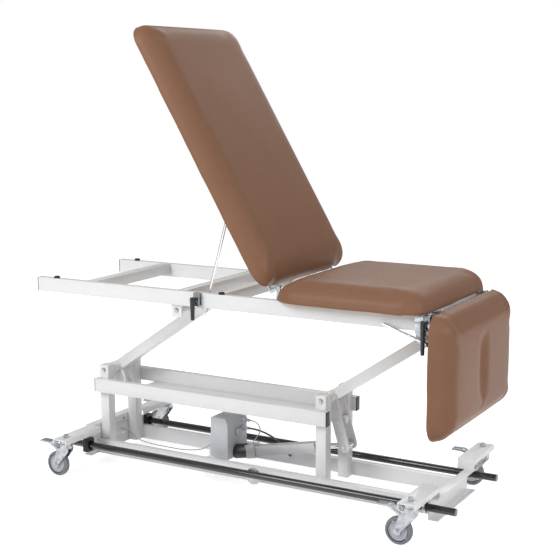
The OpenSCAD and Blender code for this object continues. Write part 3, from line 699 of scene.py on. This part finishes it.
@dataclass
class Cushion:
    """An upholstered section: foam under vinyl, wrapped over the edge of its board.

    Attributes:
        name: Name of the finished piece.
        pad: CAD node whose place it takes.
        board: CAD node under it.
        body: Body that it rides on.
        hinge_end: 1 or -1, the end at which near_end applies.
        corner: Radius of the corners seen from above.
        voxel: Size of the even mesh.
        slack: How far the slab starts inside its space.
        swell: Furthest that the filling may push a vertex.
        crown: Extra height in the middle.
        near_end: How far the foam grows at the hinge end.
        far_end: How far it grows at the other end.
        shoulder: How much thinner the foam is at its edges.
        shoulder_run: Width of the band that thins.
        top_roll: Rounding of the upper edge, as a share of the thickness.
        foot_roll: Rounding of the lower edge, as a share of the thickness.
        hinge_y: Distance of the hinges from the middle plane.
        hinge_room: Width over which the growth fades at a hinge.
        lap: Width of the cover stapled under the board.
        lap_thick: Thickness of that cover.
        board_show: How far the cover lies behind the board inside the lap.
        pull: How far the staples draw the lower edge in.
        pull_change: How much that differs along the edge.
        lift: How far they raise it.
        fill_frames: Frames of the simulation.
        relax_steps: Rounds of smoothing.
    """

    name: str
    pad: str
    board: str
    body: str
    hinge_end: int
    corner: float = 70 * MM
    voxel: float = 6 * MM
    slack: float = 4 * MM
    swell: float = 6 * MM
    crown: float = 3 * MM
    near_end: float = 6 * MM
    far_end: float = 0.0
    shoulder: float = 13 * MM
    shoulder_run: float = 95 * MM
    top_roll: float = 0.70
    foot_roll: float = 0.05
    hinge_y: float = 222 * MM
    hinge_room: float = 20 * MM
    lap: float = 46 * MM
    lap_thick: float = 0.8 * MM
    board_show: float = 1.5 * MM
    pull: float = 0.7 * MM
    pull_change: float = 0.4 * MM
    lift: float = 0.6 * MM
    fill_frames: int = 20
    relax_steps: int = 12

    def axes(self, shop: Workshop) -> Matrix:
        """Finds how the section lies.

        Args:
            shop: The workshop with the frame.

        Returns:
            A matrix whose columns run along the section, across it and out of its face.
        """
        board = shop.frame["nodes"][self.board].data
        normal = max(board.polygons, key=lambda f: f.area).normal.copy()
        towards = sum(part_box(self.pad), Vector()) - sum(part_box(self.board), Vector())
        if normal.dot(towards) < 0:
            normal.negate()
        across = Vector((0, 1, 0))
        return Matrix((across.cross(normal), across, normal)).transposed()

    def start(self, low: Vector, high: Vector) -> Object:
        """Makes the slack slab that the simulation fills.

        Args:
            low: Lowest corner in the section's own axes.
            high: Highest corner in the section's own axes.

        Returns:
            The slab, with round corners and rolled edges.
        """
        thick = high.z - low.z
        slack = Vector((self.slack, self.slack, self.slack))
        piece = block(self.name, low + Vector((slack.x, slack.y, 0)), high - slack)
        with Shaping(piece) as work:
            work.edges(lambda middle, way: abs(way.z) > 0.9)
            bpy.ops.mesh.bevel(offset=self.corner, segments=10, affect="EDGES")
            top = high.z - slack.z
            work.edges(lambda middle, way: abs(way.z) < 0.1 and abs(middle.z - top) < MM)
            bpy.ops.mesh.bevel(offset=self.top_roll * thick, segments=8, affect="EDGES")
            work.edges(lambda middle, way: abs(way.z) < 0.1 and abs(middle.z - low.z) < MM)
            bpy.ops.mesh.bevel(offset=self.foot_roll * thick, segments=3, affect="EDGES")
        only(piece)
        remesh = piece.modifiers.new("even_mesh", "REMESH")
        remesh.mode = "VOXEL"
        remesh.voxel_size = self.voxel
        bpy.ops.object.modifier_apply(modifier=remesh.name)
        return piece

    def fill(self, piece: Object, low: Vector) -> None:
        """Blows the cover up against its own stretch, with its underside held by the board.

        Args:
            piece: The slack slab.
            low: Its lowest corner.
        """
        only(piece)
        held = piece.vertex_groups.new(name="held")
        held.add([v.index for v in piece.data.vertices if v.co.z < low.z + 4 * MM], 1.0, "REPLACE")
        cloth = piece.modifiers.new("cover", "CLOTH")
        cloth.settings.quality = 4
        cloth.settings.vertex_group_mass = held.name
        cloth.settings.use_pressure = True
        cloth.settings.uniform_pressure_force = 4
        cloth.settings.effector_weights.gravity = 0
        for frame_number in range(1, self.fill_frames + 1):
            bpy.context.scene.frame_set(frame_number)
        bpy.ops.object.modifier_apply(modifier=cloth.name)
        bpy.context.scene.frame_set(1)

    def shape(self, points: np.ndarray, rest: np.ndarray, low: Vector, high: Vector) -> np.ndarray:
        """Limits the swelling, thins the edges and adds the pull of the staples.

        Args:
            points: Vertices after filling.
            rest: The same vertices before it.
            low: Lowest corner of the space for the cushion.
            high: Highest corner of that space.

        Returns:
            The final vertices.
        """
        push = points - rest
        length = np.maximum(np.linalg.norm(push, axis=1, keepdims=True), 1e-9)
        points = rest + push * np.minimum(1, self.swell / length)
        middle = (np.array(low) + np.array(high)) / 2
        half = (np.array(high) - np.array(low)) / 2
        share = (points - middle) / half
        height = np.clip((points[:, 2] - low.z) / (high.z - low.z), 0, 1)
        # the crown, which fades to nothing at the edges
        crown = np.clip((1 - share[:, 0] ** 4) * (1 - share[:, 1] ** 4), 0, 1)
        points[:, 2] += height * self.crown * crown
        # towards its edges the foam thins in a soft shoulder
        inward = (half[:2] - np.abs(points[:, :2] - middle[:2])).min(axis=1)
        points[:, 2] -= height * self.shoulder * np.clip(1 - inward / self.shoulder_run, 0, 1) ** 2
        # staples under the board pull the lower edge in small waves
        side = np.clip(np.abs(share[:, :2]).max(axis=1) * 8 - 6.6, 0, 1)
        edge = np.clip(1 - height / 0.5, 0, 1) ** 1.5 * side
        run = points[:, 0] + 0.8 * points[:, 1]
        wave = np.sin(run / (16 * MM)) + 0.7 * np.sin(run / (9.5 * MM) + 1.7)
        sway = 1 + np.sin(run / (38 * MM)) + 0.6 * np.sin(run / (23 * MM) + 0.8)
        points[:, :2] -= np.sign(share[:, :2]) * (edge * (self.pull + self.pull_change * wave))[:, None]
        points[:, 2] += edge * self.lift * sway
        points[:, 2] = np.maximum(points[:, 2], low.z)
        # inside the stapled lap the cover stops and the board shows
        rim = self.lap / half[:2]
        inside = (np.abs(share[:, :2]) < 1 - rim).all(axis=1) & (height < 0.02)
        points[inside, 2] += self.lap_thick + self.board_show
        return points

    def stretch_ends(self, points: np.ndarray, low: Vector, high: Vector) -> None:
        """Lets the foam fill the space left at the two ends, but not where the hinges stand.

        Args:
            points: Vertices, changed in place.
            low: Lowest corner of the space for the cushion.
            high: Highest corner of that space.
        """
        reach = 0.2 * (high.x - low.x)
        right = np.clip((points[:, 0] - (high.x - reach)) / reach, 0, 1)
        left = np.clip(((low.x + reach) - points[:, 0]) / reach, 0, 1)
        off_hinge = np.abs(np.abs(points[:, 1]) - self.hinge_y) / self.hinge_room
        near = self.near_end * np.clip(off_hinge - 0.4, 0, 1)
        if self.hinge_end > 0:
            points[:, 0] += right * near - left * self.far_end
        else:
            points[:, 0] += right * self.far_end - left * near

    def detail(self, points: np.ndarray, low: Vector, high: Vector) -> np.ndarray:
        """Adds what only this section has. The plain cushion has nothing more.

        Args:
            points: Vertices of the filled cushion.
            low: Lowest corner of its space.
            high: Highest corner of its space.

        Returns:
            The same vertices.
        """
        return points

    def build(self, shop: Workshop) -> Object:
        """Makes the finished cushion.

        Args:
            shop: The workshop.

        Returns:
            The cushion, in place.
        """
        axes = self.axes(shop)
        local, under = (
            np.array([v.co for v in shop.frame["nodes"][node].data.vertices]) @ np.array(axes)
            for node in (self.pad, self.board)
        )
        low, high = Vector(local.min(0)), Vector(local.max(0))
        low.z = under.min(0)[2] - self.lap_thick
        piece = self.start(low, high)
        rest = np.array([v.co for v in piece.data.vertices])
        self.fill(piece, low)
        points = np.array([v.co for v in piece.data.vertices])
        points = self.detail(self.shape(points, rest, low, high), low, high)
        self.stretch_ends(points, low, high)
        piece.data.vertices.foreach_set("co", points.astype(np.float32).ravel())
        only(piece)
        relax = piece.modifiers.new("relax", "SMOOTH")
        relax.iterations = self.relax_steps
        bpy.ops.object.modifier_apply(modifier=relax.name)
        bpy.ops.object.shade_smooth()
        piece.matrix_world = axes.to_4x4()
        settle(piece, self.name)
        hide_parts(self.pad)
        shop.fit(piece, self.body, "upholstery")
        return piece


@dataclass
class FaceCushion(Cushion):
    """The drop section, whose face has a long hollow to lie on."""

    hollow_long: float = 112 * MM
    hollow_wide: float = 27 * MM
    hollow_deep: float = 17 * MM
    fold_deep: float = 5 * MM

    def detail(self, points: np.ndarray, low: Vector, high: Vector) -> np.ndarray:
        """Presses the long hollow into the face, with a gathered fold at its far end.

        Args:
            points: Vertices of the filled cushion.
            low: Lowest corner of the space for the cushion.
            high: Highest corner of that space.

        Returns:
            The pressed vertices.
        """
        middle = (np.array(low) + np.array(high)) / 2
        height = np.clip((points[:, 2] - middle[2]) / (high.z - middle[2]), 0, 1)
        along = (points[:, 0] - middle[0]) / self.hollow_long
        wide = (points[:, 1] - middle[1]) / self.hollow_wide
        # the trough is steeper on one side, where the cover is pulled tight
        steep = np.where(wide > 0, 1.9, 0.8)
        bowl = np.clip(1 - np.abs(along) ** 3, 0, 1) * np.exp(-steep * wide**2)
        # the gathered fold curls out of the trough's far end and fades
        fold_run = np.clip(1 - ((along - 0.95) / 0.32) ** 2, 0, 1)
        curl = wide + 0.9 * np.clip(along - 0.8, 0, 1) ** 2 * 8
        fold = fold_run * np.exp(-((curl / 0.22) ** 2))
        points[:, 2] -= height * (self.hollow_deep * bowl + self.fold_deep * fold)
        return points


# ---------------------------------------------------------------- steelwork


@dataclass
class Steelwork:
    """Welded tube, folded plate and turned parts, all with the small radii of real stock."""

    edge: dict[str, float] = field(
        default_factory=lambda: {
            "base_rails": 2.5,
            "end_channels": 1.5,
            "caster_arms": 2.0,
            "posts": 2.5,
            "mid_rails": 2.5,
            "mid_shelf": 0.8,
            "actuator_mount": 0.8,
            "bar_brackets": 1.5,
            "control_box": 2.5,
            "box_plugs": 0.8,
            "motor_housing": 1.5,
            "arm_right": 2.5,
            "arm_left": 2.5,
            "levers_right": 1.0,
            "levers_left": 1.0,
            "tie_bar": 1.5,
            "side_rails": 2.5,
            "cross_tubes": 2.0,
            "rail_caps": 1.2,
            "upper_caps": 1.2,
            "pivot_brackets": 1.0,
            "hinge_ears": 0.8,
            "lock_brackets": 0.6,
            "back_board": 1.5,
            "seat_board": 1.5,
            "drop_board": 1.5,
            "back_straps": 0.8,
            "drop_straps": 0.8,
            "base_hardware": 0.5,
            "upper_bolts": 0.5,
            "bumpers": 1.0,
            "bar_switch": 1.0,
            "fork_fl": 0.6,
            "fork_rl": 0.6,
            "fork_fr": 0.6,
            "fork_rr": 0.6,
            "pedal_fl": 0.8,
            "pedal_rl": 0.8,
            "pedal_fr": 0.8,
            "pedal_rr": 0.8,
        }
    )

    def build(self, shop: Workshop) -> None:
        """Stands a round-edged copy in each node's place.

        Args:
            shop: The workshop.
        """
        for node, width in self.edge.items():
            shop.rounded_copy(node, width * MM)

    def dress(self, shop: Workshop) -> None:
        """Coats the CAD nodes that are right as they are.

        Args:
            shop: The workshop.
        """
        for node, piece in shop.frame["nodes"].items():
            shop.shelf.coat(piece, shop.slot_of(node))


# ---------------------------------------------------------------- running gear


@dataclass
class CasterWheel:
    """A wheel with a soft tread and a ringed hub."""

    corner: str
    rim: float = 13 * MM
    tread_round: float = 7 * MM
    hub_inset: float = 3 * MM

    def build(self, shop: Workshop) -> None:
        """Makes the tread and the hub in the place of the CAD wheel.

        Args:
            shop: The workshop.
        """
        node = f"wheel_{self.corner}"
        low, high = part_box(node)
        centre = (low + high) / 2
        radius = (high.z - low.z) / 2
        half = (high.y - low.y) / 2
        across = Vector((0, 1, 0))
        reach = across * (half - MM)
        tread = rod(f"tread_{self.corner}", centre - reach, centre + reach, radius, 72)
        with Shaping(tread) as work:
            work.edges(
                lambda middle, way: abs(way.y) < 0.1 and abs((middle - centre).xz.length - radius) < MM
            )
            bpy.ops.mesh.bevel(offset=self.tread_round, segments=6, affect="EDGES")
            work.faces(lambda middle, normal: abs(normal.y) > 0.99)
            bpy.ops.mesh.inset(thickness=self.rim - self.tread_round)
            bpy.ops.mesh.delete(type="FACE")
            work.edges(lambda middle, way: (middle - centre).xz.length < radius - self.rim + MM)
            bpy.ops.mesh.bridge_edge_loops()
            bpy.ops.mesh.select_all(action="SELECT")
            bpy.ops.mesh.normals_make_consistent(inside=False)
        soften(tread, 0.6 * MM)
        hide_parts(node)
        body = shop.body_of(node)
        shop.fit(tread, body, "grey_tyre")
        hub_half = half - self.hub_inset
        hub = rod(
            f"hub_{self.corner}",
            centre - across * hub_half,
            centre + across * hub_half,
            radius - self.rim,
            64,
        )
        step_caps(
            hub,
            across,
            [(p * MM, q * MM) for p, q in ((1.5, 1.2), (2, 0), (1.2, -3), (7.5, 0), (1.2, 2.4), (2.2, 0))],
        )
        soften(hub, 0.35 * MM)
        shop.fit(hub, body, "grey_tyre", "hub")


@dataclass
class ReleaseGrip:
    """A tapered soft grip on a turned boss."""

    node: str
    joint: str
    grip_half: float = 11 * MM
    foot_half: float = 8 * MM
    boss_radius: float = 9 * MM
    flatness: float = 0.7
    grooves: int = 5
    first_groove: float = 18 * MM
    groove_pitch: float = 9 * MM
    groove_draw: float = 0.93

    def build(self, shop: Workshop) -> None:
        """Makes the sleeve and its boss in the place of the CAD handle.

        Args:
            shop: The workshop.
        """
        low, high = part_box(self.node)
        pin = shop.joint_place(self.joint)
        body = shop.body_of(self.node)
        middle = Vector(((low.x + high.x) / 2, low.y + self.grip_half, 0))
        bpy.ops.object.select_all(action="DESELECT")
        top = pin.z + self.boss_radius
        foot = low.z
        bpy.ops.mesh.primitive_cone_add(
            vertices=40,
            radius1=self.foot_half,
            radius2=self.grip_half,
            depth=top - foot,
            location=(middle.x - MM, middle.y, (top + foot) / 2),
        )
        sleeve = bpy.context.active_object
        sleeve.scale = (self.flatness, 1, 1)
        settle(sleeve, f"{self.node}_sleeve")
        with Shaping(sleeve) as work:
            work.edges(lambda place, way: abs(way.z) < 0.1)
            bpy.ops.mesh.bevel(offset=3 * MM, segments=4, affect="EDGES")
            for level in range(self.grooves):
                height = foot + self.first_groove + self.groove_pitch * level
                bpy.ops.mesh.select_all(action="SELECT")
                bpy.ops.mesh.bisect(plane_co=(0, 0, height), plane_no=(0, 0, 1))
                bpy.ops.mesh.bevel(offset=1.6 * MM, segments=2, affect="EDGES")
                work.edges(lambda place, way, z=height: abs(place.z - z) < 0.2 * MM and abs(way.z) < 0.1)
                bpy.ops.transform.resize(
                    value=(self.groove_draw, self.groove_draw, 1),
                    center_override=(middle.x, middle.y, height),
                )
        bpy.ops.object.shade_smooth_by_angle(angle=math.radians(40))
        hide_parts(self.node)
        shop.fit(sleeve, body, "black_plastic")
        start = Vector((pin.x, middle.y, pin.z))
        boss = rod(f"{self.node}_boss", start, Vector((pin.x, high.y, pin.z)), self.boss_radius, 40)
        step_caps(boss, Vector((0, 1, 0)), [(1.5 * MM, 0.5 * MM), (1.5 * MM, 0.0)])
        soften(boss, 0.6 * MM)
        shop.fit(boss, body, "black_plastic")


@dataclass
class FootBar:
    """A long black tube with domed end plugs."""

    node: str

    def build(self, shop: Workshop) -> None:
        """Makes the bar in the place of the CAD tube.

        Args:
            shop: The workshop.
        """
        low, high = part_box(self.node)
        centre = (low + high) / 2
        start = Vector((low.x, centre.y, centre.z))
        end = Vector((high.x, centre.y, centre.z))
        bar = rod(f"{self.node}_tube", start, end, (high.z - low.z) / 2, 56)
        step_caps(bar, Vector((1, 0, 0)), [(1.2 * MM, 0.0), (0.4 * MM, -0.8 * MM), (3 * MM, 0.6 * MM)])
        soften(bar, 0.8 * MM, 3)
        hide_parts(self.node)
        shop.fit(bar, shop.body_of(self.node), "black_enamel")


# ---------------------------------------------------------------- studio


@dataclass
class Studio:
    """Floor, soft lamps and the camera."""

    azimuth: float = 29.68
    elevation: float = 9.50
    roll: float = -0.206
    focal: float = 76.39
    eye: Place = (2.0616, -3.5084, 1.4053)
    floor_half: float = 9.0
    surround_light: float = 0.42
    floor_glow: float = 0.64

    def camera(self) -> None:
        """Adds the camera."""
        data = bpy.data.cameras.new("camera")
        data.sensor_width = 36
        data.lens = self.focal
        camera = bpy.data.objects.new("camera", data)
        bpy.context.scene.collection.objects.link(camera)
        az, el, roll = (math.radians(a) for a in (self.azimuth, self.elevation, self.roll))
        forward = Vector((-math.sin(az) * math.cos(el), math.cos(az) * math.cos(el), -math.sin(el)))
        level = Vector((math.cos(az), math.sin(az), 0))
        up = level.cross(forward)
        right = level * math.cos(roll) + up * math.sin(roll)
        camera.matrix_world = Matrix.Translation(self.eye) @ (
            Matrix((right, right.cross(forward), -forward)).transposed().to_4x4()
        )
        bpy.context.scene.camera = camera

    def lamps(self) -> None:
        """Adds three large soft lamps and an even pale surround."""
        for name, place, size, power in (
            ("key", (-1.4, -4.0, 3.4), 2.4, 150),
            ("side", (4.2, -0.6, 2.6), 2.2, 62),
            ("back", (-0.5, 3.4, 3.2), 2.6, 36),
        ):
            data = bpy.data.lights.new(name, "AREA")
            data.size = size
            data.energy = power
            lamp = bpy.data.objects.new(name, data)
            bpy.context.scene.collection.objects.link(lamp)
            lamp.location = place
            lamp.rotation_euler = (Vector((0, 0, 0.6)) - Vector(place)).to_track_quat("-Z", "Y").to_euler()
        world = bpy.data.worlds.new("surround")
        world.use_nodes = True
        bpy.context.scene.world = world
        sheet = NodeSheet(world.node_tree)
        lit = world.node_tree.nodes["Background"]
        lit.inputs["Color"].default_value = (1, 1, 1, 1)
        lit.inputs["Strength"].default_value = self.surround_light
        seen = sheet.add("ShaderNodeBackground")
        seen.inputs["Strength"].default_value = 1.0
        rays = sheet.add("ShaderNodeLightPath")
        plain = sheet.math("MAXIMUM", rays.outputs["Is Camera Ray"], rays.outputs["Is Transmission Ray"])
        mix = sheet.add("ShaderNodeMixShader")
        sheet.wire(plain, mix.inputs["Fac"])
        sheet.wire(lit.outputs[0], mix.inputs[1])
        sheet.wire(seen.outputs[0], mix.inputs[2])
        seen.inputs["Color"].default_value = (1, 1, 1, 1)
        sheet.wire(mix.outputs[0], world.node_tree.nodes["World Output"].inputs["Surface"])

    def floor(self) -> None:
        """Adds the plain pale floor, which glows a little to the camera so that it meets the surround."""
        bpy.ops.object.select_all(action="DESELECT")
        bpy.ops.mesh.primitive_plane_add(size=2 * self.floor_half, location=(0, 0, 0))
        floor = settle(bpy.context.active_object, "floor")
        material = bpy.data.materials.new("pale_floor")
        material.use_nodes = True
        shader = material.node_tree.nodes["Principled BSDF"]
        shader.inputs["Base Color"].default_value = (0.86, 0.86, 0.86, 1)
        shader.inputs["Roughness"].default_value = 0.9
        shader.inputs["Emission Color"].default_value = (1, 1, 1, 1)
        sheet = NodeSheet(material.node_tree)
        rays = sheet.add("ShaderNodeLightPath")
        seen = sheet.math("MAXIMUM", rays.outputs["Is Camera Ray"], rays.outputs["Is Glossy Ray"])
        sheet.wire(sheet.math("MULTIPLY", seen, self.floor_glow), shader.inputs["Emission Strength"])
        floor.data.materials.append(material)

    def build(self) -> None:
        """Sets up everything around the object."""
        self.camera()
        self.lamps()
        self.floor()
        bpy.context.scene.view_settings.view_transform = "Standard"


def main() -> None:
    """Builds the studio and every sub-assembly."""
    logging.basicConfig(level=logging.INFO, format="%(name)s: %(message)s")
    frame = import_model()
    Studio().build()
    shop = Workshop(frame, FinishShelf())
    steel = Steelwork()
    steel.dress(shop)
    steel.build(shop)
    for corner in ("fl", "rl", "fr", "rr"):
        CasterWheel(corner).build(shop)
    ReleaseGrip("back_handle", "back_release_pull").build(shop)
    ReleaseGrip("drop_handle", "drop_release_pull").build(shop)
    for node in ("bar_front", "bar_rear"):
        FootBar(node).build(shop)
    seat = Cushion("seat_cushion", "seat_pad", "seat_board", "top", -1, corner=76 * MM)
    seat.near_end = 14 * MM
    seat.far_end = 6 * MM
    back = Cushion("back_cushion", "back_pad", "back_board", "back", 1)
    drop = FaceCushion("drop_cushion", "drop_pad", "drop_board", "drop", -1, corner=62 * MM)
    drop.voxel = 5 * MM
    for cushion in (seat, back, drop):
        cushion.build(shop)
    LOG.info("%d pieces made", len(shop.made))


if __name__ == "__main__":
    main()
